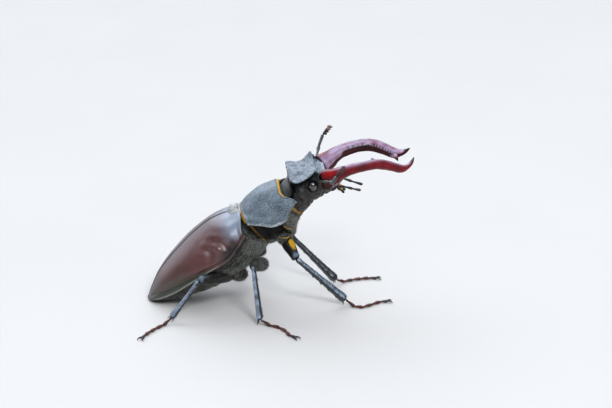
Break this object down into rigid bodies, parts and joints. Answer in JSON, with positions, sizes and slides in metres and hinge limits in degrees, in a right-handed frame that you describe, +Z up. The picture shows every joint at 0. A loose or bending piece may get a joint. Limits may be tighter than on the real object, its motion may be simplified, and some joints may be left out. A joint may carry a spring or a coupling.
{
  "type": "stag beetle",
  "caption": "Life-size male stag beetle standing reared on six legs with its head and long toothed jaws raised.",
  "frame": {"origin": "on the floor under the middle of the whole beetle's box", "axes": "+X ahead, from the wing cases' tips to the jaws; +Y to the beetle's left; +Z up from the floor"},
  "size_m": [0.0658, 0.054, 0.0385],
  "materials": {
    "wing_case": "glossy dark chestnut horn, blackish at its rims",
    "collar_plate": "satin slate-black horn, finely pitted",
    "underside": "dull brown-black horn under short grey-gold hairs",
    "head_plate": "satin grey-black horn, finely pitted",
    "eye": "polished black",
    "jaw": "glossy deep red horn with black teeth and tips",
    "mouth": "dull dark brown horn with golden bristles",
    "feeler": "glossy brown-black horn",
    "feeler_club": "velvety grey-brown",
    "leg": "glossy blue-black horn",
    "foot": "satin red-brown horn"
  },
  "bodies": {
    "root": {"elytron_left": "wing_case", "elytron_right": "wing_case", "scutellum": "collar_plate", "abdomen": "underside", "pterothorax": "underside", "pronotum": "collar_plate", "prosternum": "underside", "head": "head_plate", "eye_left": "eye", "mandible_left": "jaw", "eye_right": "eye", "mandible_right": "jaw", "clypeus": "head_plate", "labium": "mouth", "antenna_left_scape": "feeler", "antenna_left_funicle": "feeler", "antenna_left_club": "feeler_club", "antenna_right_scape": "feeler", "antenna_right_funicle": "feeler", "antenna_right_club": "feeler_club", "maxillary_palp_left": "mouth", "labial_palp_left": "mouth", "maxillary_palp_right": "mouth", "labial_palp_right": "mouth", "leg_front_right_coxa": "leg", "leg_front_right_femur": "leg", "leg_front_right_tibia": "leg", "leg_front_right_tarsus": "foot", "leg_front_left_coxa": "leg", "leg_front_left_femur": "leg", "leg_front_left_tibia": "leg", "leg_front_left_tarsus": "foot", "leg_middle_right_coxa": "leg", "leg_middle_right_femur": "leg", "leg_middle_right_tibia": "leg", "leg_middle_right_tarsus": "foot", "leg_middle_left_coxa": "leg", "leg_middle_left_femur": "leg", "leg_middle_left_tibia": "leg", "leg_middle_left_tarsus": "foot", "leg_hind_right_coxa": "leg", "leg_hind_right_femur": "leg", "leg_hind_right_tibia": "leg", "leg_hind_right_tarsus": "foot", "leg_hind_left_coxa": "leg", "leg_hind_left_femur": "leg", "leg_hind_left_tibia": "leg", "leg_hind_left_tarsus": "foot"}
  },
  "joints": []
}
